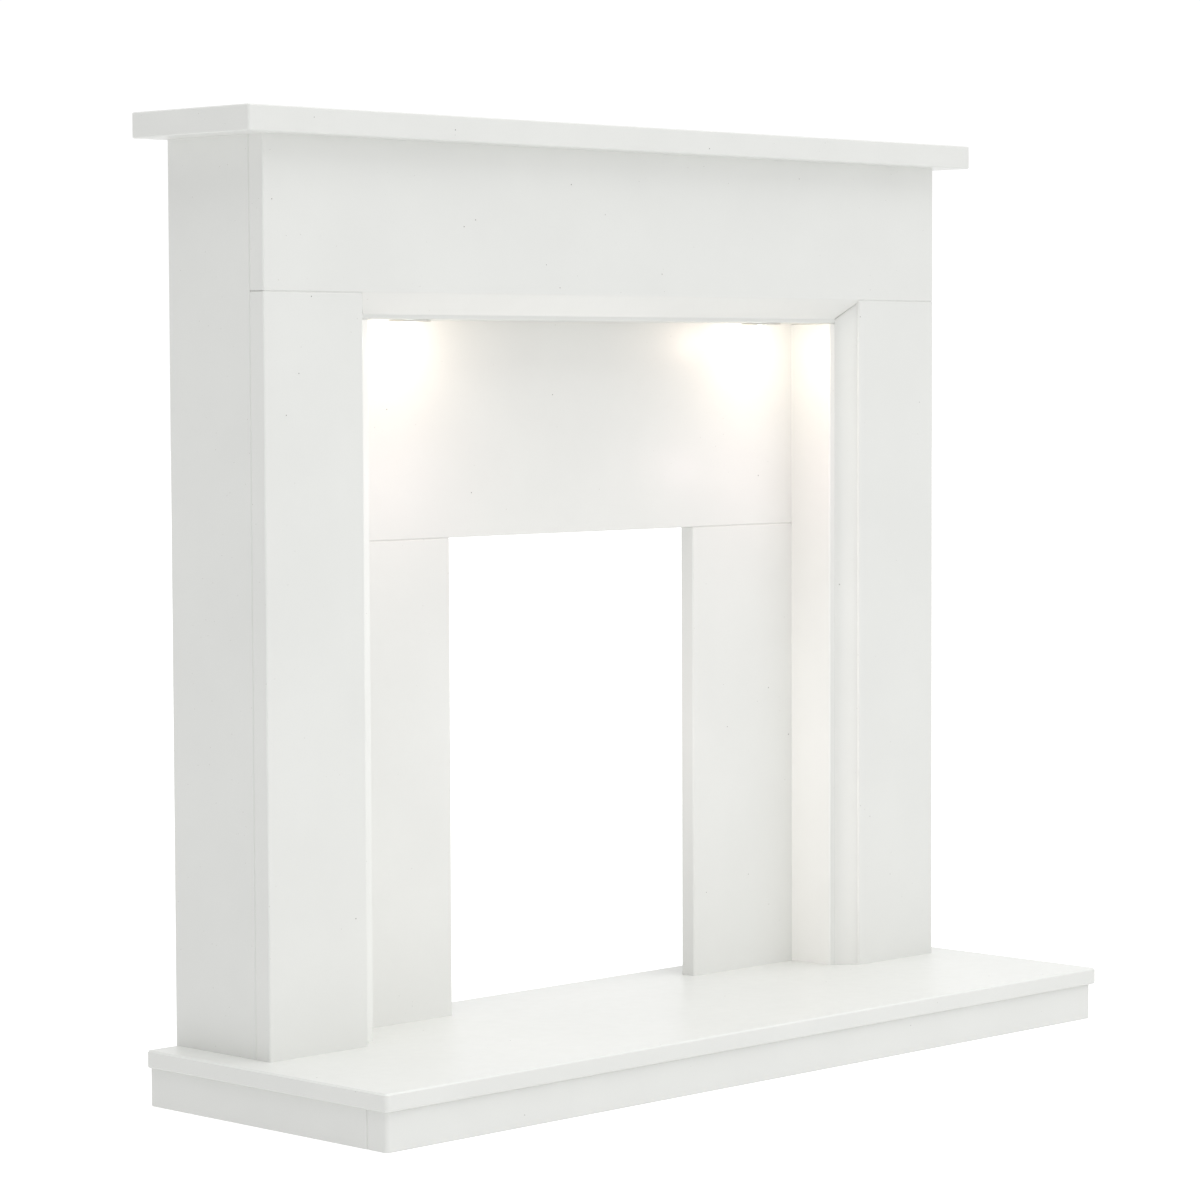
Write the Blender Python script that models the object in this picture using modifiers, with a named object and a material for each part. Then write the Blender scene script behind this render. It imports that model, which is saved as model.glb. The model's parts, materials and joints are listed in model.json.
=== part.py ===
"""Micro-marble fire surround with a lit recess, a three-piece back panel and a boxed hearth.

Metres, +Z up. The front faces -Y and +X is to the right of someone facing it, so "left"
pieces are at -X. The origin is on the floor, in the middle of the footprint. Depths are
measured forwards from the plane of the body's back edges.
"""

import math

import bmesh
import bpy
from mathutils import Vector

# ---------------------------------------------------------------- driving dimensions
GAP = 0.0003  # open joint between touching pieces
BACK_Y = 0.195  # plane of the body's back edges
WALL_SET_BACK = 0.010  # the shelf reaches this far behind the body, to the wall

HEARTH_HALF = 0.6105
HEARTH_DEPTH = 0.400
HEARTH_TOP = 0.0648
HEARTH_SLAB = 0.0204
RISER_SET_BACK = 0.0055
RISER_FRONT = 0.0312
RISER_SIDE = 0.025
RIB_X = 0.250

BODY_HALF = 0.5682
BODY_DEPTH = 0.1637
FRONT_THICK = 0.024
SIDE_THICK = 0.020

SHELF_HALF = 0.610
SHELF_FRONT = 0.1905
SHELF_THICK = 0.029
SHELF_TOP = 1.1151

OPENING_HALF = 0.4226  # inner edges of the leg fronts at their face
OPENING_TOP = 0.915  # joint between header and legs
LEG_LAND = 0.0045  # straight edge in front of the leg's bevel
LEG_BEVEL = 0.020
HEADER_BEVEL = 0.0242

RETURN_HALF = 0.393  # inner faces of the recess
RETURN_THICK = 0.020
SOFFIT_Z = 0.8856
SOFFIT_THICK = 0.020

BACK_HALF = 0.470
BACK_TOP = 1.0046
BACK_FRONT = 0.0745
BACK_THICK = 0.0211
CUTOUT_HALF = 0.2084
CUTOUT_TOP = 0.6308

BATTEN = 0.025
CORNER_BATTEN = 0.030

LIGHT_X = 0.300
LIGHT_DEPTH = 0.107
LIGHT_HOLE = 0.0215
PIVOT_OUT = 0.0188  # clip pivot, outwards from the light's axis
PIVOT_UP = 0.030  # clip pivot, above the soffit's underside
PIN_RADIUS = 0.0010
PIN_HOLE = 0.0011
CLIP_WIDTH = 0.008
CLIP_THICK = 0.001

STRAP_X = 0.478
STRAP_THICK = 0.003
STRAP_SCREW_RISE = 0.035
SCREW_RADIUS = 0.0022
SCREW_HOLE = 0.0026
SCREW_LENGTH = 0.014
SCREW_HEAD = 0.0045

BRACKET_Z = 0.985
BRACKET_WIDTH = 0.030
BRACKET_LEG = 0.040
BRACKET_THICK = 0.0025
BRACKET_SCREW_DEPTH = 0.018

SWITCH_DEPTH = 0.055
SWITCH_Z = 0.960
SWITCH_HALF_Z = 0.0105
SWITCH_HALF_Y = 0.0075
SWITCH_FLANGE = 0.002
ROCKER_TILT = 7.0  # degrees to either side of level
ROCKER_HALF_Z = 0.0080
ROCKER_HALF_Y = 0.0047

DRIVER_HALF = 0.055
DRIVER_DEPTH = 0.094
DRIVER_WIDTH = 0.030
DRIVER_HEIGHT = 0.020
LEAD_RADIUS = 0.002

# ---------------------------------------------------------------- derived places
BODY_TOP = SHELF_TOP - SHELF_THICK
FRAME_BACK = BODY_DEPTH - FRONT_THICK  # depth of the leg and header fronts' rear faces
RISER_HALF = HEARTH_HALF - RISER_SET_BACK
RISER_DEPTH = HEARTH_DEPTH - RISER_SET_BACK
RISER_TOP = HEARTH_TOP - HEARTH_SLAB - GAP
SOFFIT_TOP = SOFFIT_Z + SOFFIT_THICK
SIDE_INNER = BODY_HALF - SIDE_THICK
BEVEL_INNER = OPENING_HALF - LEG_BEVEL


def y_at(depth):
    return BACK_Y - depth


# ---------------------------------------------------------------- scene set-up
for old in list(bpy.data.objects):
    bpy.data.objects.remove(old, do_unlink=True)


def make_collection(name):
    collection = bpy.data.collections.new(name)
    bpy.context.scene.collection.children.link(collection)
    return collection


parts = make_collection("fire_surround")
cutters = make_collection("cutters")


def make_material(name, color, roughness, metallic=0.0):
    material = bpy.data.materials.new(name)
    material.use_nodes = True
    shader = material.node_tree.nodes["Principled BSDF"]
    shader.inputs["Base Color"].default_value = (*color, 1.0)
    shader.inputs["Roughness"].default_value = roughness
    shader.inputs["Metallic"].default_value = metallic
    material.diffuse_color = (*color, 1.0)
    return material


MARBLE = make_material("micro_marble", (0.80, 0.79, 0.77), 0.35)
WOOD = make_material("softwood", (0.60, 0.43, 0.26), 0.75)
STEEL = make_material("zinc_steel", (0.62, 0.63, 0.65), 0.40, 1.0)
BEZEL = make_material("bezel_nickel", (0.72, 0.71, 0.69), 0.30, 1.0)
ALUMINIUM = make_material("heat_sink_aluminium", (0.70, 0.71, 0.73), 0.35, 1.0)
LENS = make_material("lens_frosted", (0.98, 0.93, 0.80), 0.45)
LED = make_material("led_module", (0.95, 0.85, 0.45), 0.50)
PLASTIC = make_material("white_plastic", (0.85, 0.85, 0.84), 0.45)
CABLE = make_material("white_cable", (0.82, 0.82, 0.80), 0.55)


# ---------------------------------------------------------------- modelling helpers
def adopt(obj, name, material):
    obj.name = name
    obj.data.name = name
    obj.data.materials.clear()
    if material:
        obj.data.materials.append(material)
    for owner in list(obj.users_collection):
        owner.objects.unlink(obj)
    parts.objects.link(obj)
    return obj


def as_tool(obj):
    """Turn a piece into a hidden shape that only cuts or joins others."""
    for owner in list(obj.users_collection):
        owner.objects.unlink(obj)
    cutters.objects.link(obj)
    obj.hide_render = True
    obj.display_type = "WIRE"
    return obj


def box(name, x, y, z, material=None):
    """A box from its low and high x, y and z."""
    centre = [(low + high) / 2 for low, high in (x, y, z)]
    bpy.ops.mesh.primitive_cube_add(size=1.0, location=centre)
    obj = bpy.context.object
    obj.scale = [abs(high - low) for low, high in (x, y, z)]
    bpy.ops.object.transform_apply(location=False, rotation=False, scale=True)
    return adopt(obj, name, material)


def cylinder(name, centre, radius, length, axis, material=None, vertices=20):
    """A cylinder centred on a point, along X, Y or Z."""
    turn = {"X": (0, math.pi / 2, 0), "Y": (math.pi / 2, 0, 0), "Z": (0, 0, 0)}[axis]
    bpy.ops.mesh.primitive_cylinder_add(
        vertices=vertices, radius=radius, depth=length, location=centre, rotation=turn
    )
    return adopt(bpy.context.object, name, material)


def curve_to_mesh(curve_obj, name, material):
    """Replace a curve object by the mesh it makes, with its caps welded on."""
    bpy.context.view_layer.update()
    evaluated = curve_obj.evaluated_get(bpy.context.evaluated_depsgraph_get())
    mesh = bpy.data.meshes.new_from_object(evaluated)
    solid = bmesh.new()
    solid.from_mesh(mesh)
    bmesh.ops.remove_doubles(solid, verts=solid.verts, dist=0.000002)
    bmesh.ops.recalc_face_normals(solid, faces=solid.faces)
    solid.to_mesh(mesh)
    solid.free()
    obj = bpy.data.objects.new(name, mesh)
    obj.matrix_world = curve_obj.matrix_world.copy()
    bpy.context.scene.collection.objects.link(obj)
    bpy.data.objects.remove(curve_obj, do_unlink=True)
    return adopt(obj, name, material)


PLANES = {  # the rotation that lays an outline's own XY plane in each of these
    "XY": (0.0, 0.0, 0.0),
    "XZ": (math.pi / 2, 0.0, 0.0),
    "YZ": (math.pi / 2, 0.0, math.pi / 2),
}


def outline(name, plane, points, span, material=None):
    """A flat outline in the XY, XZ or YZ plane, as thick as the span along its normal."""
    curve = bpy.data.curves.new(name, "CURVE")
    curve.dimensions = "2D"
    curve.fill_mode = "BOTH"
    curve.extrude = (span[1] - span[0]) / 2
    spline = curve.splines.new("POLY")
    spline.points.add(len(points) - 1)
    for point, (u, v) in zip(spline.points, points):
        point.co = (u, v, 0.0, 1.0)
    spline.use_cyclic_u = True
    obj = bpy.data.objects.new(name, curve)
    obj.rotation_euler = PLANES[plane]
    middle = (span[0] + span[1]) / 2
    obj.location = {"XY": (0, 0, middle), "XZ": (0, middle, 0), "YZ": (middle, 0, 0)}[plane]
    bpy.context.scene.collection.objects.link(obj)
    return curve_to_mesh(obj, name, material)


def turned(name, profile, location, material, rotation=(0, 0, 0), steps=32, ring=False):
    """Turn a profile of (radius, height) points about Z; a ring's profile is closed."""
    mesh = bpy.data.meshes.new(name)
    edges = [(i, i + 1) for i in range(len(profile) - 1)]
    if ring:
        edges.append((len(profile) - 1, 0))
    mesh.from_pydata([(r, 0.0, h) for r, h in profile], edges, [])
    obj = bpy.data.objects.new(name, mesh)
    obj.location = location
    obj.rotation_euler = rotation
    screw = obj.modifiers.new("turn", "SCREW")
    screw.steps = steps
    screw.render_steps = steps
    screw.use_merge_vertices = True
    screw.merge_threshold = 0.00001
    bpy.context.scene.collection.objects.link(obj)
    return adopt(obj, name, material)


def smooth_path(points, spacing):
    """Evenly spaced points along a smooth curve through the given ones."""
    knots = [Vector(p) for p in points]
    ends = [2 * knots[0] - knots[1], *knots, 2 * knots[-1] - knots[-2]]
    path = []
    for p0, p1, p2, p3 in zip(ends, ends[1:], ends[2:], ends[3:]):
        steps = max(2, round((p2 - p1).length / spacing))
        for i in range(steps):
            t = i / steps
            path.append(
                0.5 * (2 * p1 + (p2 - p0) * t + (2 * p0 - 5 * p1 + 4 * p2 - p3) * t**2
                       + (3 * p1 - p0 - 3 * p2 + p3) * t**3)
            )
    path.append(knots[-1])
    return path


def tube(name, points, radius, material):
    """A round lead along a smooth curve through the given points."""
    curve = bpy.data.curves.new(name, "CURVE")
    curve.dimensions = "3D"
    curve.bevel_depth = radius
    curve.bevel_resolution = 2
    curve.use_fill_caps = True
    path = smooth_path(points, 6 * radius)
    spline = curve.splines.new("POLY")
    spline.points.add(len(path) - 1)
    for point, place in zip(spline.points, path):
        point.co = (*place, 1.0)
    obj = bpy.data.objects.new(name, curve)
    bpy.context.scene.collection.objects.link(obj)
    return adopt(obj, name, material)


def boolean(obj, tool, operation="DIFFERENCE"):
    modifier = obj.modifiers.new(tool.name, "BOOLEAN")
    modifier.operation = operation
    modifier.solver = "EXACT"
    modifier.object = as_tool(tool)


def sides():
    """The two mirrored sides: their names and their signs along X."""
    return (("left", -1.0), ("right", 1.0))


def span(sign, inner, outer):
    """Low and high x of a stretch from inner to outer on one side."""
    return tuple(sorted((sign * inner, sign * outer)))


# ---------------------------------------------------------------- hearth
def build_hearth():
    front = y_at(HEARTH_DEPTH)
    box("hearth_slab", (-HEARTH_HALF, HEARTH_HALF), (front, BACK_Y),
        (HEARTH_TOP - HEARTH_SLAB, HEARTH_TOP), MARBLE)
    riser_y = (y_at(RISER_DEPTH), y_at(RISER_DEPTH - RISER_FRONT))
    box("hearth_front_riser", (-RISER_HALF, RISER_HALF), riser_y, (0.0, RISER_TOP), MARBLE)
    inner = RISER_HALF - RISER_SIDE - GAP
    box("hearth_rear_riser", (-inner, inner), (BACK_Y - RISER_SIDE, BACK_Y),
        (0.0, RISER_TOP), MARBLE)
    for side, sign in sides():
        box(f"hearth_side_riser_{side}", span(sign, RISER_HALF - RISER_SIDE, RISER_HALF),
            (riser_y[1] + GAP, BACK_Y), (0.0, RISER_TOP), MARBLE)
        box(f"hearth_rib_{side}", span(sign, RIB_X - RISER_SIDE / 2, RIB_X + RISER_SIDE / 2),
            (riser_y[1] + GAP, BACK_Y - RISER_SIDE - GAP), (0.0, RISER_TOP), MARBLE)


# ---------------------------------------------------------------- frame: header and legs
def mitre_points(sign, shift):
    """The mitre between header and leg bevels: its line run on inwards, and its corner."""
    slope = (HEADER_BEVEL - LEG_LAND * HEADER_BEVEL / FRONT_THICK) / LEG_BEVEL
    corner_z = OPENING_TOP - HEADER_BEVEL + slope * LEG_BEVEL
    run_on = 2 * LEG_BEVEL
    corner = (sign * (OPENING_HALF - shift), corner_z)
    start = (sign * (OPENING_HALF - shift - run_on), corner_z - slope * run_on)
    return start, corner


def build_header():
    front = y_at(BODY_DEPTH)
    back = y_at(FRAME_BACK)
    bottom = OPENING_TOP - HEADER_BEVEL
    top = BODY_TOP - GAP
    header = outline(
        "header_front", "YZ",
        [(front, OPENING_TOP), (back, bottom), (back, top), (front, top)],
        (-BODY_HALF, BODY_HALF), MARBLE,
    )
    for side, sign in sides():
        start, corner = mitre_points(sign, GAP)
        beyond = sign * (BODY_HALF + 0.01)
        below = bottom - 0.03
        tool = outline(
            f"header_notch_{side}", "XZ",
            [start, corner, (corner[0], OPENING_TOP), (beyond, OPENING_TOP),
             (beyond, below), (start[0], below)],
            (front - 0.01, back + 0.01),
        )
        boolean(header, tool)
        hole = cylinder(
            f"header_screw_hole_{side}",
            (sign * STRAP_X, back, OPENING_TOP + STRAP_SCREW_RISE),
            SCREW_HOLE, 2 * (SCREW_LENGTH - STRAP_THICK + 0.001), "Y",
        )
        boolean(header, hole)


def build_leg_front(side, sign):
    front = y_at(BODY_DEPTH)
    back = y_at(FRAME_BACK)
    bottom = HEARTH_TOP + GAP
    leg = outline(
        f"leg_front_{side}", "XY",
        [(sign * BODY_HALF, front), (sign * OPENING_HALF, front),
         (sign * OPENING_HALF, front + LEG_LAND), (sign * BEVEL_INNER, back),
         (sign * BODY_HALF, back)],
        (bottom, OPENING_TOP - GAP), MARBLE,
    )
    start, corner = mitre_points(sign, 0.0)
    above = OPENING_TOP + 0.01
    tool = outline(
        f"leg_mitre_{side}", "XZ",
        [start, corner, (corner[0], above), (start[0], above)],
        (front - 0.01, back + 0.01),
    )
    boolean(leg, tool)
    hole = cylinder(
        f"leg_screw_hole_{side}",
        (sign * STRAP_X, back, OPENING_TOP - STRAP_SCREW_RISE),
        SCREW_HOLE, 2 * (SCREW_LENGTH - STRAP_THICK + 0.001), "Y",
    )
    boolean(leg, hole)


def build_side_panel(side, sign):
    panel = box(
        f"side_panel_{side}", span(sign, SIDE_INNER, BODY_HALF),
        (y_at(FRAME_BACK) + GAP, BACK_Y), (HEARTH_TOP + GAP, BODY_TOP - GAP), MARBLE,
    )
    hole = cylinder(
        f"bracket_screw_hole_{side}",
        (sign * SIDE_INNER, y_at(BRACKET_SCREW_DEPTH), BRACKET_Z),
        SCREW_HOLE, 2 * (SCREW_LENGTH - BRACKET_THICK + 0.001), "X",
    )
    boolean(panel, hole)
    return panel


def build_shelf():
    box("mantel_shelf", (-SHELF_HALF, SHELF_HALF), (y_at(SHELF_FRONT), BACK_Y + WALL_SET_BACK),
        (BODY_TOP, SHELF_TOP), MARBLE)


# ---------------------------------------------------------------- recess and back panel
def build_recess():
    depth = (y_at(FRAME_BACK) + GAP, y_at(BACK_FRONT) - GAP)
    outer = RETURN_HALF + RETURN_THICK
    for side, sign in sides():
        box(f"inner_return_{side}", span(sign, RETURN_HALF, outer), depth,
            (HEARTH_TOP + GAP, SOFFIT_Z - GAP), MARBLE)
    soffit = box("soffit_panel", (-outer, outer), depth, (SOFFIT_Z, SOFFIT_TOP), MARBLE)
    for side, sign in sides():
        hole = cylinder(
            f"downlight_hole_{side}",
            (sign * LIGHT_X, y_at(LIGHT_DEPTH), SOFFIT_Z + SOFFIT_THICK / 2),
            LIGHT_HOLE, 3 * SOFFIT_THICK, "Z", vertices=36,
        )
        boolean(soffit, hole)


def build_back_panel():
    depth = (y_at(BACK_FRONT), y_at(BACK_FRONT - BACK_THICK))
    box("back_panel_top", (-BACK_HALF, BACK_HALF), depth, (CUTOUT_TOP, BACK_TOP), MARBLE)
    for side, sign in sides():
        box(f"back_panel_leg_{side}", span(sign, CUTOUT_HALF, BACK_HALF), depth,
            (HEARTH_TOP + GAP, CUTOUT_TOP - GAP), MARBLE)


# ---------------------------------------------------------------- timber bonded inside
def build_battens():
    against_frame = y_at(FRAME_BACK) + GAP
    low = HEARTH_TOP + 0.010
    for side, sign in sides():
        outer = SIDE_INNER - GAP
        box(f"corner_batten_{side}", span(sign, outer - CORNER_BATTEN, outer),
            (against_frame, against_frame + CORNER_BATTEN), (low, OPENING_TOP - 0.010), WOOD)
        inner = RETURN_HALF + RETURN_THICK + GAP
        box(f"return_batten_{side}", span(sign, inner, inner + BATTEN),
            (against_frame, against_frame + BATTEN), (low, SOFFIT_Z - 0.010), WOOD)
    shelf_half = SIDE_INNER - CORNER_BATTEN
    box("header_batten", (-shelf_half, shelf_half), (against_frame, against_frame + BATTEN),
        (BODY_TOP - GAP - BATTEN, BODY_TOP - GAP), WOOD)
    soffit_half = LIGHT_X - 0.070
    box("soffit_batten", (-soffit_half, soffit_half), (against_frame, against_frame + BATTEN),
        (SOFFIT_TOP + GAP, SOFFIT_TOP + GAP + BATTEN), WOOD)


# ---------------------------------------------------------------- steel fixings
def build_screw(name, seat, rotation):
    """A pan-head screw; its head stands on the seat, its shank runs into the stone."""
    head = SCREW_HEAD
    profile = [
        (0.0, 0.0030), (head * 0.55, 0.0027), (head * 0.90, 0.0018), (head, 0.0006),
        (head, GAP), (SCREW_RADIUS, GAP), (SCREW_RADIUS, 0.002 - SCREW_LENGTH),
        (0.0, -SCREW_LENGTH),
    ]
    turned(name, profile, seat, STEEL, rotation, steps=16)


def build_joint_strap(side, sign):
    front = y_at(FRAME_BACK) + GAP
    half_height = STRAP_SCREW_RISE + 0.012
    strap = box(
        f"joint_strap_{side}", span(sign, STRAP_X - 0.014, STRAP_X + 0.014),
        (front, front + STRAP_THICK), (OPENING_TOP - half_height, OPENING_TOP + half_height),
        STEEL,
    )
    for level, rise in (("lower", -STRAP_SCREW_RISE), ("upper", STRAP_SCREW_RISE)):
        place = (sign * STRAP_X, front + STRAP_THICK, OPENING_TOP + rise)
        boolean(strap, cylinder(f"strap_hole_{side}_{level}", place, SCREW_HOLE,
                                4 * STRAP_THICK, "Y"))
        build_screw(f"strap_screw_{side}_{level}", place, (-math.pi / 2, 0, 0))


def build_wall_bracket(side, sign):
    """A steel angle: one leg on the side panel, one flat on the wall behind the body."""
    outer = sign * (SIDE_INNER - GAP)
    inner = outer - sign * BRACKET_THICK
    tip = outer - sign * BRACKET_LEG
    wall = BACK_Y + WALL_SET_BACK
    bracket = outline(
        f"wall_bracket_{side}", "XY",
        [(outer, y_at(BRACKET_LEG - WALL_SET_BACK)), (outer, wall), (tip, wall),
         (tip, wall - BRACKET_THICK), (inner, wall - BRACKET_THICK),
         (inner, y_at(BRACKET_LEG - WALL_SET_BACK))],
        (BRACKET_Z - BRACKET_WIDTH / 2, BRACKET_Z + BRACKET_WIDTH / 2), STEEL,
    )
    seat = (inner, y_at(BRACKET_SCREW_DEPTH), BRACKET_Z)
    boolean(bracket, cylinder(f"bracket_side_hole_{side}", seat, SCREW_HOLE,
                              4 * BRACKET_THICK, "X"))
    wall_hole = (outer - sign * 0.028, wall, BRACKET_Z)
    boolean(bracket, cylinder(f"bracket_wall_hole_{side}", wall_hole, SCREW_HOLE,
                              4 * BRACKET_THICK, "Y"))
    build_screw(f"bracket_screw_{side}", seat, (0, -sign * math.pi / 2, 0))


# ---------------------------------------------------------------- downlights
def build_downlight(side, sign):
    centre = (sign * LIGHT_X, y_at(LIGHT_DEPTH), SOFFIT_Z)
    name = f"downlight_{side}"
    turned(f"{name}_bezel", [
        (0.0205, 0.0160), (0.0205, -GAP), (0.0250, -GAP), (0.0250, -0.0013),
        (0.0242, -0.0023), (0.0175, -0.0023), (0.0165, -0.0015), (0.0165, 0.0007),
        (0.0184, 0.0007), (0.0184, 0.0160),
    ], centre, BEZEL, steps=36, ring=True)
    turned(f"{name}_lens", [
        (0.0, 0.0028), (0.0180, 0.0028), (0.0180, 0.0010), (0.0155, 0.0010),
        (0.0145, 0.0004), (0.0, -0.0004),
    ], centre, LENS, steps=32)
    turned(f"{name}_led_module", [
        (0.0, 0.0160), (0.0150, 0.0160), (0.0150, 0.0140), (0.0080, 0.0140),
        (0.0080, 0.0130), (0.0, 0.0130),
    ], centre, LED, steps=24)
    build_heat_sink(name, centre)
    for place, out in (("inner", -sign), ("outer", sign)):
        build_clip(f"{name}_clip_{place}", centre, out)


def build_heat_sink(name, centre):
    """A finned can above the soffit, with an ear pair on each side for the clip pins."""
    base, fin, core = 0.0200, 0.0158, 0.0110
    fin_pitch, fin_thick, first_fin, fin_count = 0.0036, 0.0016, 0.0350, 4
    profile = [(0.0, first_fin + fin_count * fin_pitch)]
    for i in reversed(range(fin_count)):
        top = first_fin + i * fin_pitch + fin_thick
        if i == fin_count - 1:
            profile.append((core, profile[0][1]))
        profile += [(core, top), (fin, top), (fin, top - fin_thick)]
        if i > 0:
            profile.append((core, top - fin_thick))
    profile += [(fin, 0.0225), (base, 0.0225), (base, 0.0163), (0.0, 0.0163)]
    can = turned(f"{name}_heat_sink", profile, centre, ALUMINIUM, steps=28)
    ear_gap = CLIP_WIDTH / 2 + 0.0004
    for i, (out, end) in enumerate(((-1, -1), (-1, 1), (1, -1), (1, 1))):
        y_in, y_out = end * ear_gap, end * (ear_gap + 0.0016)
        ear = box(
            f"{name}_ear_{i}",
            sorted((centre[0] + out * 0.0120, centre[0] + out * 0.0208)),
            sorted((centre[1] + y_in, centre[1] + y_out)),
            (centre[2] + PIVOT_UP - 0.0026, centre[2] + PIVOT_UP + 0.0026),
        )
        boolean(can, ear, "UNION")
    for out in (-1, 1):
        hole = cylinder(
            f"{name}_pin_hole_{'inner' if out < 0 else 'outer'}",
            (centre[0] + out * PIVOT_OUT, centre[1], centre[2] + PIVOT_UP),
            PIN_HOLE, 0.016, "Y", vertices=24,
        )
        boolean(can, hole)
        slot = box(
            f"{name}_clip_slot_{'inner' if out < 0 else 'outer'}",
            sorted((centre[0] + out * 0.0150, centre[0] + out * 0.0215)),
            (centre[1] - ear_gap, centre[1] + ear_gap),
            (centre[2] + PIVOT_UP - 0.0040, centre[2] + PIVOT_UP + 0.0060),
        )
        boolean(can, slot)


def build_clip(name, light, out):
    """A sprung arm that turns on its pin and presses on the soffit's upper face."""
    pivot_x = light[0] + out * PIVOT_OUT
    pivot_z = light[2] + PIVOT_UP
    cylinder(f"{name}_pin", (pivot_x, light[1], pivot_z), PIN_RADIUS, 0.0126, "Y", STEEL, 24)
    foot_x = light[0] + out * 0.0440
    foot_z = SOFFIT_TOP + GAP
    tip = out * 0.0030
    barrel = 0.0020
    arm = outline(
        name, "XZ",
        [(pivot_x + out * 0.0006, pivot_z + barrel * 0.9),
         (foot_x, foot_z + CLIP_THICK), (foot_x + tip, foot_z + 0.0022 + CLIP_THICK),
         (foot_x + tip, foot_z + 0.0022), (foot_x, foot_z),
         (pivot_x + out * 0.0004, pivot_z + barrel * 0.9 - 2.2 * CLIP_THICK)],
        (light[1] - CLIP_WIDTH / 2, light[1] + CLIP_WIDTH / 2), STEEL,
    )
    place = (pivot_x, light[1], pivot_z)
    boolean(arm, cylinder(f"{name}_barrel", place, barrel, CLIP_WIDTH, "Y", vertices=24), "UNION")
    boolean(arm, cylinder(f"{name}_bore", place, PIN_HOLE, 3 * CLIP_WIDTH, "Y", vertices=24))


# ---------------------------------------------------------------- driver, leads and switch
def build_driver():
    """A potted LED driver on the soffit, with a drilled flange at each end."""
    y = (y_at(DRIVER_DEPTH) - DRIVER_WIDTH / 2, y_at(DRIVER_DEPTH) + DRIVER_WIDTH / 2)
    low = SOFFIT_TOP + GAP
    driver = box("led_driver", (-DRIVER_HALF, DRIVER_HALF), y, (low, low + DRIVER_HEIGHT), PLASTIC)
    flange = DRIVER_HALF + 0.010
    plate = box("driver_flanges", (-flange, flange), (y[0] + 0.004, y[1] - 0.004),
                (low, low + 0.003))
    boolean(driver, plate, "UNION")
    for side, sign in sides():
        place = (sign * (DRIVER_HALF + 0.005), y_at(DRIVER_DEPTH), low)
        boolean(driver, cylinder(f"driver_hole_{side}", place, 0.002, 0.010, "Z", vertices=24))


def build_leads():
    """One lead to each downlight from the driver's left end, and one from the switch."""
    exit_x = DRIVER_HALF + GAP
    exit_z = SOFFIT_TOP + 0.012
    can_top = SOFFIT_Z + 0.0494 + GAP
    light_y = y_at(LIGHT_DEPTH)
    high = SOFFIT_Z + 0.085
    near_y = y_at(DRIVER_DEPTH) - 0.006
    far_y = y_at(DRIVER_DEPTH) + 0.006
    tube("lead_left", [
        (-exit_x, near_y, exit_z), (-0.075, near_y, exit_z + 0.001),
        (-0.120, near_y, exit_z + 0.010), (-0.180, near_y - 0.004, exit_z + 0.020),
        (-0.240, light_y, high - 0.012), (-0.280, light_y, high),
        (-0.297, light_y, high - 0.012), (-LIGHT_X, light_y, high - 0.024),
        (-LIGHT_X, light_y, can_top),
    ], LEAD_RADIUS, CABLE)
    tube("lead_right", [
        (-exit_x, far_y, exit_z), (-0.075, far_y, exit_z + 0.002),
        (-0.092, far_y, exit_z + 0.016), (-0.078, far_y, exit_z + 0.032),
        (-0.040, far_y, exit_z + 0.036), (0.060, far_y - 0.004, exit_z + 0.034),
        (0.160, light_y + 0.004, exit_z + 0.036), (0.240, light_y, high - 0.012),
        (0.280, light_y, high), (0.297, light_y, high - 0.012),
        (LIGHT_X, light_y, high - 0.024), (LIGHT_X, light_y, can_top),
    ], LEAD_RADIUS, CABLE)
    switch_y = y_at(SWITCH_DEPTH)
    switch_back = BODY_HALF - 0.024 - GAP
    tube("switch_lead", [
        (exit_x, y_at(DRIVER_DEPTH), exit_z), (0.075, y_at(DRIVER_DEPTH), exit_z + 0.001),
        (0.130, y_at(DRIVER_DEPTH) + 0.002, exit_z + 0.012),
        (0.200, y_at(DRIVER_DEPTH) + 0.006, exit_z + 0.060),
        (0.300, y_at(DRIVER_DEPTH) + 0.006, exit_z + 0.098),
        (0.400, y_at(DRIVER_DEPTH) + 0.005, exit_z + 0.100),
        (0.470, y_at(DRIVER_DEPTH) + 0.006, exit_z + 0.085),
        (0.500, y_at(DRIVER_DEPTH) + 0.018, exit_z + 0.062),
        (0.516, switch_y - 0.008, SWITCH_Z + 0.004), (0.530, switch_y, SWITCH_Z),
        (switch_back, switch_y, SWITCH_Z),
    ], LEAD_RADIUS, CABLE)


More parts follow.
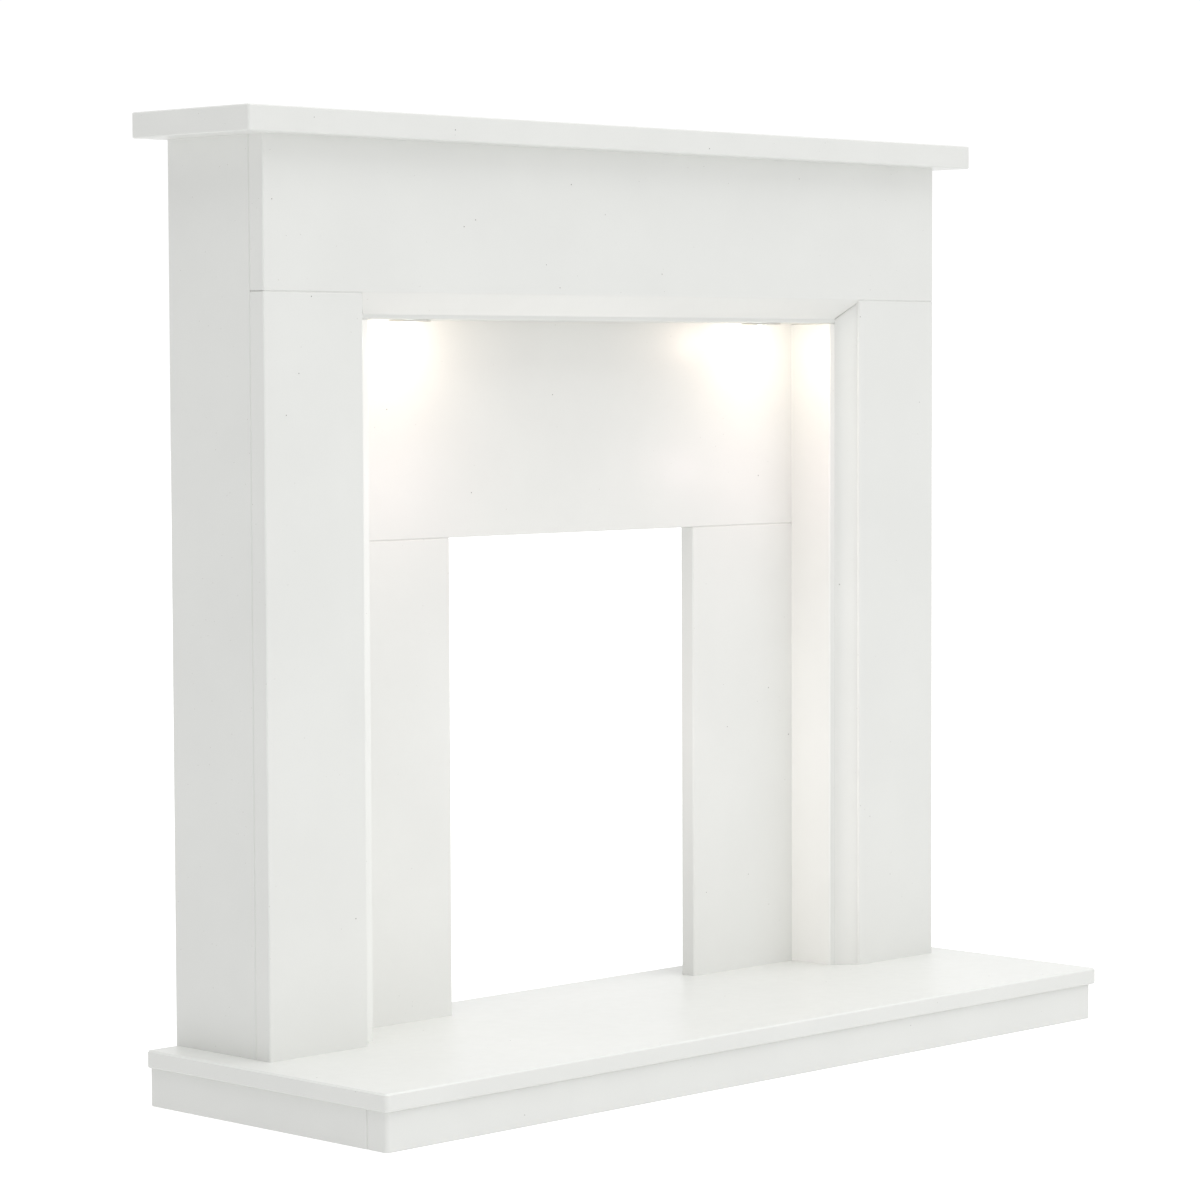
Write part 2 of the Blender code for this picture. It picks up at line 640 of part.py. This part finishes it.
def build_switch(panel):
    """A rocker switch let into the right side panel near its back edge."""
    y = y_at(SWITCH_DEPTH)
    face = BODY_HALF + GAP
    pivot = (face - 0.0005, y, SWITCH_Z)
    body_half_y, body_half_z = SWITCH_HALF_Y - 0.0013, SWITCH_HALF_Z - 0.0012
    hole = box("switch_cut_out", (SIDE_INNER - 0.01, BODY_HALF + 0.01),
               (y - body_half_y - GAP, y + body_half_y + GAP),
               (SWITCH_Z - body_half_z - GAP, SWITCH_Z + body_half_z + GAP))
    boolean(panel, hole)
    housing = box("switch_housing", (face, face + SWITCH_FLANGE),
                  (y - SWITCH_HALF_Y, y + SWITCH_HALF_Y),
                  (SWITCH_Z - SWITCH_HALF_Z, SWITCH_Z + SWITCH_HALF_Z), PLASTIC)
    body = box("switch_body", (BODY_HALF - 0.024, face + 0.001),
               (y - body_half_y, y + body_half_y),
               (SWITCH_Z - body_half_z, SWITCH_Z + body_half_z))
    boolean(housing, body, "UNION")
    pocket = box("switch_pocket", (face - 0.0075, face + 0.01),
                 (y - ROCKER_HALF_Y - 0.0003, y + ROCKER_HALF_Y + 0.0003),
                 (SWITCH_Z - ROCKER_HALF_Z - 0.0004, SWITCH_Z + ROCKER_HALF_Z + 0.0004))
    boolean(housing, pocket)
    boolean(housing, cylinder("switch_pin_hole", pivot, PIN_HOLE, 0.0116, "Y", vertices=24))
    tilt = math.radians(ROCKER_TILT)
    crest = SWITCH_FLANGE + 0.0012
    rise = ROCKER_HALF_Z * math.tan(tilt)
    rocker = outline("switch_rocker", "XZ", [
        (crest - 0.0005, 0.0), (crest - 0.0005 + rise, ROCKER_HALF_Z - 0.0006),
        (crest - 0.0008 + rise, ROCKER_HALF_Z - 0.0001), (-0.0012, ROCKER_HALF_Z - 0.0001),
        (-0.0048, 0.0030), (-0.0048, -0.0030), (-0.0012, -ROCKER_HALF_Z + 0.0001),
        (crest - 0.0008 + rise, -ROCKER_HALF_Z + 0.0001),
        (crest - 0.0005 + rise, -ROCKER_HALF_Z + 0.0006),
    ], (-ROCKER_HALF_Y, ROCKER_HALF_Y), PLASTIC)
    axle = cylinder("switch_axle", (0, 0, 0), PIN_RADIUS, 0.0112, "Y", vertices=24)
    boolean(rocker, axle, "UNION")
    hinge = bpy.data.objects.new("switch_hinge", None)
    parts.objects.link(hinge)
    hinge.location = pivot
    hinge.rotation_euler = (0, tilt, 0)
    rocker.parent = hinge
    axle.parent = hinge


# ---------------------------------------------------------------- assembly
build_hearth()
build_header()
for side_name, side_sign in sides():
    build_leg_front(side_name, side_sign)
    side_panel = build_side_panel(side_name, side_sign)
    build_joint_strap(side_name, side_sign)
    build_wall_bracket(side_name, side_sign)
    build_downlight(side_name, side_sign)
build_switch(side_panel)
build_shelf()
build_recess()
build_back_panel()
build_battens()
build_driver()
build_leads()
bpy.context.view_layer.update()
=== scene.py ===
"""Looks of the micro-marble fire surround: stone finish, arrises, joints, fittings and light."""

import json
import math

import bmesh
import bpy
from mathutils import Matrix, Vector
from mathutils.bvhtree import BVHTree


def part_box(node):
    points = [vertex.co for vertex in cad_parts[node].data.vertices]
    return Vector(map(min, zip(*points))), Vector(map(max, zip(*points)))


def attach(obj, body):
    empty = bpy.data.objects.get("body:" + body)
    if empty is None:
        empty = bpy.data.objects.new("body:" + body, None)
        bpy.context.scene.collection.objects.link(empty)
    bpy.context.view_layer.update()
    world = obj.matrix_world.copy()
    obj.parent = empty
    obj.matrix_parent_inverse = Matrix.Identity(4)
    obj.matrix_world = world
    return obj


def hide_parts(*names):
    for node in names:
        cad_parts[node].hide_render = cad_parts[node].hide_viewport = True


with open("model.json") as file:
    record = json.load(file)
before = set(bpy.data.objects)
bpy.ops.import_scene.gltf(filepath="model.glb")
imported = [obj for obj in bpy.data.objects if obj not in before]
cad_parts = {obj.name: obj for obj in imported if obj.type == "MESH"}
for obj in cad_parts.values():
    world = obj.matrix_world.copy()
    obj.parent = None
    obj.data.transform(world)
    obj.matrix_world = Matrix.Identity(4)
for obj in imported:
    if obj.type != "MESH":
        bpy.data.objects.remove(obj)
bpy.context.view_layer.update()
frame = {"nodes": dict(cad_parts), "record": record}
record = frame["record"]

SIDES = (("left", -1.0), ("right", 1.0))


# ---------------------------------------------------------------- places read from the frame
def low(node):
    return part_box(node)[0]


def high(node):
    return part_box(node)[1]


def middle(node):
    lowest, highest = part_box(node)
    return (lowest + highest) / 2


SLOT_NODES = {}
for part in record["subparts"]:
    SLOT_NODES.setdefault(part["material_slot"], []).append(part["node"])


# ---------------------------------------------------------------- node material helpers
class Nodes:
    """A material's node tree, with short calls for the nodes used here."""

    def __init__(self, name):
        self.material = bpy.data.materials.new(name)
        self.material.use_nodes = True
        self.tree = self.material.node_tree
        self.shader = self.tree.nodes["Principled BSDF"]
        self.place = self.add("ShaderNodeTexCoord").outputs["Object"]

    def add(self, kind, **settings):
        node = self.tree.nodes.new(kind)
        for key, value in settings.items():
            setattr(node, key, value)
        return node

    def link(self, source, target):
        self.tree.links.new(source, target)

    def feed(self, socket, value):
        """Set a socket to a number, colour or another node's output."""
        if isinstance(value, bpy.types.NodeSocket):
            self.link(value, socket)
        elif hasattr(value, "__len__") and len(value) == 3 and socket.type == "RGBA":
            socket.default_value = (*value, 1.0)
        else:
            socket.default_value = value

    def stretch(self, scale, place=None):
        node = self.add("ShaderNodeMapping")
        self.feed(node.inputs["Vector"], place or self.place)
        node.inputs["Scale"].default_value = scale
        return node.outputs["Vector"]

    def noise(self, scale, detail=4.0, roughness=0.55, place=None):
        node = self.add("ShaderNodeTexNoise")
        self.feed(node.inputs["Vector"], place or self.place)
        node.inputs["Scale"].default_value = scale
        node.inputs["Detail"].default_value = detail
        node.inputs["Roughness"].default_value = roughness
        return node.outputs["Fac"]

    def cells(self, scale, place=None):
        """Distance to the nearest random point, and that point's random colour."""
        node = self.add("ShaderNodeTexVoronoi", feature="F1")
        self.feed(node.inputs["Vector"], place or self.place)
        node.inputs["Scale"].default_value = scale
        return node.outputs["Distance"], node.outputs["Color"]

    def ramp(self, value, start, end, low_value=0.0, high_value=1.0):
        """A straight line through (start, low_value) and (end, high_value), held at its ends."""
        node = self.add("ShaderNodeMapRange", clamp=True)
        self.feed(node.inputs["Value"], value)
        node.inputs["From Min"].default_value = start
        node.inputs["From Max"].default_value = end
        node.inputs["To Min"].default_value = low_value
        node.inputs["To Max"].default_value = high_value
        return node.outputs["Result"]

    def math(self, operation, first, second=0.0):
        node = self.add("ShaderNodeMath", operation=operation)
        self.feed(node.inputs[0], first)
        self.feed(node.inputs[1], second)
        return node.outputs["Value"]

    def mix(self, factor, first, second):
        node = self.add("ShaderNodeMix", data_type="RGBA")
        self.feed(node.inputs["Factor"], factor)
        self.feed(node.inputs[6], first)
        self.feed(node.inputs[7], second)
        return node.outputs[2]

    def bump(self, height, strength, distance, normal=None):
        node = self.add("ShaderNodeBump")
        self.feed(node.inputs["Height"], height)
        node.inputs["Strength"].default_value = strength
        node.inputs["Distance"].default_value = distance
        if normal:
            self.link(normal, node.inputs["Normal"])
        self.link(node.outputs["Normal"], self.shader.inputs["Normal"])
        return node.outputs["Normal"]

    def set(self, **values):
        for key, value in values.items():
            self.feed(self.shader.inputs[key.replace("_", " ")], value)


# ---------------------------------------------------------------- materials
MARBLE_WHITE = (0.775, 0.782, 0.758)
SPECKS = (
    # cells per metre, radius, share of the cells that have one, colour, strength
    (52.0, 0.00085, 0.17, (0.105, 0.092, 0.075), 0.92),
    (95.0, 0.00050, 0.20, (0.300, 0.275, 0.235), 0.75),
    (210.0, 0.00028, 0.22, (0.470, 0.455, 0.420), 0.60),
)


def micro_marble(name="micro_marble_satin", sawn=False):
    """Cast micro-marble: an even warm white, a breath of mottling and sparse dark specks."""
    n = Nodes(name)
    cloud = n.noise(7.0, detail=3.0)
    grain = n.noise(420.0, detail=5.0, roughness=0.7)
    light = tuple(c * 1.012 for c in MARBLE_WHITE)
    dark = tuple(c * 0.985 for c in MARBLE_WHITE)
    tint = n.mix(n.ramp(cloud, 0.35, 0.65), dark, light)
    tint = n.mix(n.ramp(grain, 0.30, 0.75, 0.0, 0.30), tint, tuple(c * 0.955 for c in MARBLE_WHITE))
    for scale, radius, share, colour, depth in SPECKS:
        distance, colour_of_cell = n.cells(scale)
        edge = radius * scale
        spot = n.ramp(distance, edge * 0.55, edge, depth, 0.0)
        pick = n.add("ShaderNodeSeparateColor")
        n.link(colour_of_cell, pick.inputs["Color"])
        chosen = n.math("LESS_THAN", pick.outputs["Red"], share)
        tint = n.mix(n.math("MULTIPLY", spot, chosen), tint, colour)
    n.set(Base_Color=tint, IOR=1.49)
    n.shader.inputs["Coat Weight"].default_value = 0.0 if sawn else 0.12
    n.shader.inputs["Coat Roughness"].default_value = 0.22
    if sawn:
        n.set(Roughness=n.ramp(grain, 0.3, 0.7, 0.72, 0.88))
        marks = n.noise(1.0, detail=2.0, place=n.stretch((4.0, 4.0, 900.0)))
        rough = n.bump(marks, 0.35, 0.0004)
        n.bump(grain, 0.30, 0.0003, rough)
    else:
        n.set(Roughness=n.ramp(n.noise(60.0, detail=4.0), 0.3, 0.7, 0.34, 0.46))
        n.bump(n.noise(260.0, detail=3.0), 0.05, 0.0001)
    return n.material


def softwood():
    """Planed pine: long pale grain with darker rings."""
    n = Nodes("softwood_pine")
    rings = n.noise(1.0, detail=5.0, place=n.stretch((70.0, 70.0, 2.2)))
    fibre = n.noise(1.0, detail=6.0, roughness=0.7, place=n.stretch((420.0, 420.0, 9.0)))
    tint = n.mix(n.ramp(rings, 0.38, 0.62), (0.66, 0.47, 0.27), (0.50, 0.31, 0.15))
    tint = n.mix(n.ramp(fibre, 0.35, 0.75, 0.0, 0.35), tint, (0.40, 0.24, 0.12))
    n.set(Base_Color=tint, Roughness=n.ramp(fibre, 0.3, 0.7, 0.62, 0.80))
    n.bump(fibre, 0.25, 0.0003)
    return n.material


def metal(name, colour, rough, streaks, strength):
    """Plated or turned metal with fine streaks along one direction."""
    n = Nodes(name)
    lines = n.noise(1.0, detail=4.0, place=n.stretch(streaks))
    cloud = n.noise(45.0, detail=3.0)
    darker = tuple(c * 0.86 for c in colour)
    n.set(Base_Color=n.mix(n.ramp(cloud, 0.35, 0.65), darker, colour),
          Roughness=n.ramp(lines, 0.3, 0.7, rough * 0.8, rough * 1.25))
    n.shader.inputs["Metallic"].default_value = 1.0
    n.bump(lines, strength, 0.0001)
    return n.material


def plastic(name, colour, rough):
    """Moulded plastic with a fine spark texture."""
    n = Nodes(name)
    spark = n.noise(1500.0, detail=2.0)
    cloud = n.noise(30.0, detail=2.0)
    n.set(Base_Color=n.mix(n.ramp(cloud, 0.35, 0.65), tuple(c * 0.975 for c in colour), colour),
          Roughness=n.ramp(spark, 0.3, 0.7, rough * 0.9, rough * 1.1))
    n.bump(spark, 0.12, 0.00006)
    return n.material


def glowing(name, colour, strength):
    """The frosted lens and the phosphor disc behind it, which give off the lamp's own light."""
    n = Nodes(name)
    frost = n.noise(900.0, detail=3.0)
    n.set(Base_Color=n.mix(n.ramp(frost, 0.3, 0.7, 0.0, 0.4), colour, (1.0, 0.95, 0.86)),
          Roughness=n.ramp(frost, 0.3, 0.7, 0.35, 0.55))
    n.shader.inputs["Emission Color"].default_value = (*colour, 1.0)
    n.shader.inputs["Emission Strength"].default_value = strength
    n.bump(frost, 0.2, 0.0001)
    return n.material


MARBLE = micro_marble()
MARBLE_SAWN = micro_marble("micro_marble_sawn", sawn=True)
MATERIALS = {
    "softwood": softwood(),
    "zinc_steel": metal("zinc_plate", (0.66, 0.68, 0.70), 0.38, (300.0, 300.0, 30.0), 0.10),
    "bezel_nickel": metal("satin_nickel", (0.74, 0.72, 0.68), 0.30, (90.0, 90.0, 900.0), 0.08),
    "heat_sink_aluminium": metal("turned_aluminium", (0.75, 0.76, 0.78), 0.34,
                                 (60.0, 60.0, 1500.0), 0.15),
    "lens_frosted": glowing("lens_frosted", (1.0, 0.90, 0.72), 3.0),
    "led_module": glowing("led_phosphor", (1.0, 0.82, 0.45), 4.0),
    "white_plastic": plastic("moulded_white", (0.80, 0.80, 0.79), 0.42),
    "white_cable": plastic("pvc_sheath", (0.78, 0.78, 0.76), 0.50),
}


# ---------------------------------------------------------------- making pieces
def add_piece(name, mesh, material, body, node):
    """A visible piece that rides on a body and stands for a CAD node."""
    piece = bpy.data.objects.new(name, mesh)
    bpy.context.scene.collection.objects.link(piece)
    mesh.materials.append(material)
    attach(piece, body)
    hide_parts(node)
    return piece


def smooth(piece, crease):
    """Smooth shading up to the crease angle, with the large faces kept flat."""
    piece.data.set_sharp_from_angle(angle=crease)
    for polygon in piece.data.polygons:
        polygon.use_smooth = True
    modifier = piece.modifiers.new("weighted", "WEIGHTED_NORMAL")
    modifier.weight = 100
    modifier.keep_sharp = True


SAWN_AXIS = Vector((0.0, 1.0, 0.0))  # faces that look to the rear are left as sawn
SAWN_COSINE = 0.99
WELD = 0.00002  # vertices closer than this are one
SLIVER = 0.000001  # edges shorter than this are taken out
FLAT = 0.01  # radians between faces that count as one flat face
SHARPEST = 0.6  # radians between faces from which an edge is eased
STONE_CREASE = math.radians(30.0)
FITTING_CREASE = math.radians(32.0)
NEAR = 0.0012  # how close an edge is to a plane that it lies in


def bare_shape(node):
    """A node's shape as a bmesh, with the triangles of each flat face joined."""
    shape = bmesh.new()
    shape.from_mesh(frame["nodes"][node].data)
    bmesh.ops.remove_doubles(shape, verts=shape.verts, dist=WELD)
    bmesh.ops.dissolve_limit(shape, angle_limit=FLAT, verts=shape.verts, edges=shape.edges)
    return shape


def convex_edges(shape):
    return [e for e in shape.edges if e.is_manifold and e.calc_face_angle_signed() > SHARPEST]


def ease(shape, edges, offset, segments):
    """Bevel some edges of a shape, and give back the edges that this makes."""
    result = bmesh.ops.bevel(shape, geom=edges, offset=offset, offset_type="OFFSET",
                             segments=segments, profile=0.5, affect="EDGES", clamp_overlap=True)
    return set(result["edges"])


def finished_mesh(shape, name):
    """The mesh of a finished shape, which is freed."""
    bmesh.ops.dissolve_degenerate(shape, edges=shape.edges, dist=SLIVER)
    mesh = bpy.data.meshes.new(name)
    shape.to_mesh(mesh)
    shape.free()
    return mesh


STONES = SLOT_NODES["micro_marble"]
HEARTH = [node for node in STONES if node.startswith("hearth")]
FRONTS = ("header_front", "leg_front_left", "leg_front_right")
ARRIS = 0.0013  # the flat taken off a panel's edges
SLAB_ARRIS = 0.0020
LONG_EDGE = 0.012  # shorter edges belong to holes and notches, which stay crisp
CORNER_RADIUS = {"hearth_slab": 0.0048, "hearth_front_riser": 0.0048, "mantel_shelf": 0.0030}
CORNER_RADIUS.update({front: 0.0022 for front in FRONTS})
CORNER_SEGMENTS = 6
JOINT = 0.0004  # panels closer than this are bonded together
TOUCH = 0.00001  # what is left of the joint between them


def close_joints(shapes):
    """Take each panel's butted faces across the open joint, as its adhesive does."""
    for node, shape in shapes.items():
        others = [BVHTree.FromBMesh(other) for name, other in shapes.items() if name != node]
        shape.normal_update()
        for face in shape.faces:
            middle_of_face = face.calc_center_median()
            gaps = [tree.ray_cast(middle_of_face, face.normal, JOINT)[3] for tree in others]
            gaps = [gap for gap in gaps if gap is not None]
            if gaps:
                for corner in face.verts:
                    corner.co += face.normal * (min(gaps) - TOUCH)


def is_front_corner(edge, node):
    """True for the upright edges at a panel's outer front corners."""
    first, second = (v.co for v in edge.verts)
    outermost = max(abs(low(node).x), abs(high(node).x))
    return (abs(first.z - second.z) > LONG_EDGE and (first - second).xy.length < NEAR
            and abs(abs(first.x) - outermost) < NEAR and first.y < low(node).y + NEAR)


def is_butted(edge, node):
    """True for edges that lie against a neighbour: at a foot, under the shelf, behind a panel."""
    places = [v.co for v in edge.verts]
    if node in HEARTH or node == "mantel_shelf":
        return False
    foot = all(p.z < high("hearth_slab").z + NEAR for p in places)
    head = all(p.z > low("mantel_shelf").z - NEAR for p in places)
    rear = all(p.y > high(node).y - NEAR for p in places)
    inboard = all(abs(p.x) < high("header_front").x - NEAR for p in places)
    return foot or head or (rear and (("return" in node) or (node in FRONTS and inboard)))


def dress_stone(node, shape):
    """A stone panel's own shape with rounded front corners, eased arrises and a sawn back."""
    rounded = set()
    if node in CORNER_RADIUS:
        corners = [e for e in shape.edges if is_front_corner(e, node)]
        rounded = ease(shape, corners, CORNER_RADIUS[node], CORNER_SEGMENTS)
    arrises = [
        e for e in convex_edges(shape)
        if (e.calc_length() > LONG_EDGE or e in rounded) and not is_butted(e, node)
    ]
    ease(shape, arrises, SLAB_ARRIS if node == "hearth_slab" else ARRIS, segments=1)
    mesh = finished_mesh(shape, node + "_stone")
    piece = add_piece(node + "_stone", mesh, MARBLE, "root", node)
    mesh.materials.append(MARBLE_SAWN)
    for polygon in mesh.polygons:
        if polygon.normal.dot(SAWN_AXIS) > SAWN_COSINE:
            polygon.material_index = 1
    smooth(piece, STONE_CREASE)


BODY_OF = {
    node: body for body, members in record["behaviour"]["bodies"].items() for node in members
}


def dress_fitting(node, slot, arris):
    """A fitting's own shape with fine eased edges and smooth round surfaces."""
    shape = bare_shape(node)
    if arris > 0.0:
        ease(shape, convex_edges(shape), arris, segments=2)
    mesh = finished_mesh(shape, node + "_fitting")
    piece = add_piece(node + "_fitting", mesh, MATERIALS[slot], BODY_OF[node], node)
    smooth(piece, FITTING_CREASE)


DRIVER_ARRIS = 0.0012
FITTING_ARRIS = {
    "softwood": 0.0015,
    "zinc_steel": 0.00025,
    "bezel_nickel": 0.00030,
    "heat_sink_aluminium": 0.00022,
    "lens_frosted": 0.00030,
    "led_module": 0.00020,
    "white_plastic": 0.00030,
    "white_cable": 0.0,
}
stone_shapes = {stone: bare_shape(stone) for stone in STONES}
close_joints(stone_shapes)
for stone, stone_shape in stone_shapes.items():
    dress_stone(stone, stone_shape)
for slot_name, slot_arris in FITTING_ARRIS.items():
    for fitting in SLOT_NODES[slot_name]:
        is_driver = fitting == "led_driver"
        dress_fitting(fitting, slot_name, DRIVER_ARRIS if is_driver else slot_arris)


# ---------------------------------------------------------------- camera
CAMERA_PLACE = (-3.3813, -3.2646, 0.8226)
CAMERA_ANGLES = (45.327, 3.281, -0.22)  # degrees: yaw from +Y towards +X, pitch down, roll
CAMERA_LENS = 118.31  # mm, on a 36 mm sensor


def make_camera():
    """At the front left, near the height of the recess's top, looking slightly down."""
    yaw, pitch, roll = (math.radians(angle) for angle in CAMERA_ANGLES)
    forward = Vector((math.sin(yaw) * math.cos(pitch), math.cos(yaw) * math.cos(pitch),
                      -math.sin(pitch)))
    right = Vector((math.cos(yaw), -math.sin(yaw), 0.0))
    up = right.cross(forward)
    rolled_right = math.cos(roll) * right + math.sin(roll) * up
    rolled_up = math.cos(roll) * up - math.sin(roll) * right
    data = bpy.data.cameras.new("camera")
    data.lens = CAMERA_LENS
    data.sensor_width = 36.0
    data.clip_end = 50.0
    camera = bpy.data.objects.new("camera", data)
    axes = Matrix((rolled_right, rolled_up, -forward)).transposed()
    camera.matrix_world = Matrix.Translation(CAMERA_PLACE) @ axes.to_4x4()
    bpy.context.scene.collection.objects.link(camera)
    bpy.context.scene.camera = camera


# ---------------------------------------------------------------- studio
WORLD_LIGHT = 0.52  # what the white surroundings give to the object
WORLD_WHITE = 1.05  # how they look to the camera and in reflections
FLOOR_GLOW = 0.57
FLOOR_SEEN = 0.90
FLOOR_SIZE = 60.0
FLOOR_DROP = 0.0005
FLOOR_GREYS = ((0.44, 0.44, 0.44), (0.46, 0.46, 0.46))
WHITE = (1.0, 1.0, 1.0)
DOWN = (0.0, 0.0, -1.0)
UP = (0.0, 0.0, 1.0)
BACK = (0.0, 1.0, 0.0)
STUDIO_ANGLE = math.radians(80.0)
STUDIO_LIGHTS = (
    # name, direction towards the light, strength: wide soft suns
    ("top", (0.05, -0.25, 1.0), 1.78),
    ("low", (0.2, -1.0, 0.05), 0.38),
)
LAMP_DROP = 0.0126  # the lamps' lights are this far below their bezels
LAMP_ENERGY = 0.041
LAMP_COLOUR = (0.90, 0.99, 0.96)
LAMP_SOFTNESS = 0.008
GLOW_SOFTNESS = 0.02
GLOWS = (
    # name, distance from the middle, y, z, energy, colour: the lamps' warm light after its
    # first reflections, on the back panel and the returns
    ("near", 0.29, 0.03, 0.86, 0.187, (1.0, 0.767, 0.595)),
    ("wide", 0.30, 0.00, 0.70, 0.090, (1.0, 0.727, 0.776)),
    ("corner", 0.355, 0.045, 0.84, 0.030, (1.0, 0.92, 0.84)),
)
FILL_COLOUR = (1.0, 0.925, 0.92)
SIDE_FILLS = (
    # name, distance from the middle, y, z, forward part of its outward direction, energy,
    # width, height, words in the names of the stones that it falls on
    ("recess_fill", 0.0, 0.085, 0.240, 0.0, 0.650, 0.05, 0.55, ("return",)),
    ("bevel_fill", 0.325, 0.090, 0.48, 0.6, 0.19, 0.02, 0.80, ("leg_front",)),
)
MIDDLE_FILLS = (
    # name, place, direction, energy, width, height, words as above
    ("hearth_bounce", (0.0, -0.25, 0.14), BACK, 0.13, 0.9, 0.1, ("back_panel", "leg_front")),
    ("soffit_bounce", (0.0, 0.06, 0.60), UP, 0.165, 0.7, 0.04, ("header",)),
    ("hearth_glow", (0.1, 0.05, 0.50), DOWN, 0.12, 0.8, 0.1, ("hearth_slab",)),
)
BOUNCE_PLACE = (0.0, 0.06, 0.38)  # a soft ball of light in the middle of the recess
BOUNCE_ENERGY = 0.41
BOUNCE_SOFTNESS = 0.10
EDGE_TOWARDS = (-0.3, 1.0, -0.1)  # a sun on the front edge of the left return
EDGE_STRENGTH = 0.65
EDGE_ANGLE = 0.5


def make_floor():
    """A white floor: lit like paper, and plain white where the camera sees it."""
    n = Nodes("studio_floor")
    paper = n.noise(3.0, detail=2.0)
    n.set(Base_Color=n.mix(paper, *FLOOR_GREYS), Roughness=0.9)
    n.shader.inputs["Specular IOR Level"].default_value = 0.0
    n.shader.inputs["Emission Color"].default_value = (1.0, 1.0, 1.0, 1.0)
    seen = n.add("ShaderNodeLightPath").outputs["Is Camera Ray"]
    n.set(Emission_Strength=n.ramp(seen, 0.0, 1.0, FLOOR_GLOW, FLOOR_SEEN))
    bpy.ops.mesh.primitive_plane_add(size=FLOOR_SIZE, location=(0.0, 0.0, -FLOOR_DROP))
    floor = bpy.context.object
    floor.name = "studio_floor"
    floor.data.materials.append(n.material)


def add_light(kind, name, place, towards, energy, colour, **settings):
    """A light with its beam along `towards`, which the camera itself doesn't see."""
    data = bpy.data.lights.new(name, kind)
    data.energy = energy
    data.color = colour
    for key, value in settings.items():
        setattr(data, key, value)
    light = bpy.data.objects.new(name, data)
    light.location = place
    light.rotation_mode = "QUATERNION"
    light.rotation_quaternion = Vector(towards).to_track_quat("-Z", "Y")
    light.visible_camera = False
    bpy.context.scene.collection.objects.link(light)
    return light


def make_studio():
    world = bpy.data.worlds.new("studio")
    bpy.context.scene.world = world
    world.use_nodes = True
    tree = world.node_tree
    background = tree.nodes["Background"]
    paths = tree.nodes.new("ShaderNodeLightPath")
    strength = tree.nodes.new("ShaderNodeMapRange")
    strength.inputs["To Min"].default_value = WORLD_WHITE
    strength.inputs["To Max"].default_value = WORLD_LIGHT
    tree.links.new(paths.outputs["Is Diffuse Ray"], strength.inputs["Value"])
    tree.links.new(strength.outputs["Result"], background.inputs["Strength"])
    background.inputs["Color"].default_value = (1.0, 1.0, 1.0, 1.0)
    for name, towards, strength in STUDIO_LIGHTS:
        add_light("SUN", f"studio_{name}", towards, -Vector(towards), strength, WHITE,
                  angle=STUDIO_ANGLE)


def linked_light(kind, name, place, towards, energy, colour, words, **settings):
    """A light that falls only on the stones with one of `words` in their names."""
    lit = bpy.data.collections.new(name + "_receivers")
    for stone in STONES:
        if any(word in stone for word in words):
            lit.objects.link(bpy.data.objects[stone + "_stone"])
    light = add_light(kind, name, place, towards, energy, colour, **settings)
    light.light_linking.receiver_collection = lit


def make_downlights():
    """The light that the two recessed lamps throw down the back panel and returns."""
    for side, sign in SIDES:
        place = middle(f"downlight_{side}_lens")
        place.z = low(f"downlight_{side}_bezel").z - LAMP_DROP
        add_light("POINT", f"downlight_{side}", place, DOWN, LAMP_ENERGY, LAMP_COLOUR,
                  shadow_soft_size=LAMP_SOFTNESS)
        for name, out, y, z, energy, colour in GLOWS:
            linked_light("POINT", f"glow_{name}_{side}", (sign * out, y, z), DOWN, energy, colour,
                         ("return", "back_panel"), shadow_soft_size=GLOW_SOFTNESS)


def make_recess_fills():
    """The warm light that goes on reflecting between the faces of the recess."""
    for side, sign in SIDES:
        for name, out, y, z, forward, energy, width, height, words in SIDE_FILLS:
            linked_light("AREA", f"{name}_{side}", (sign * out, y, z), (sign, -forward, 0.0),
                         energy, FILL_COLOUR, words, shape="RECTANGLE", size=width,
                         size_y=height)
    linked_light("POINT", "recess_bounce", BOUNCE_PLACE, DOWN, BOUNCE_ENERGY, FILL_COLOUR,
                 ("return", "back_panel", "leg_front", "header"),
                 shadow_soft_size=BOUNCE_SOFTNESS)
    for name, place, towards, energy, width, height, words in MIDDLE_FILLS:
        linked_light("AREA", name, place, towards, energy, FILL_COLOUR, words,
                     shape="RECTANGLE", size=width, size_y=height)
    linked_light("SUN", "edge_light", (0.0, -3.0, 1.0), EDGE_TOWARDS, EDGE_STRENGTH, WHITE,
                 ("return_left",), angle=EDGE_ANGLE)


make_camera()
make_floor()
make_studio()
make_downlights()
make_recess_fills()
bpy.context.scene.view_settings.view_transform = "Standard"
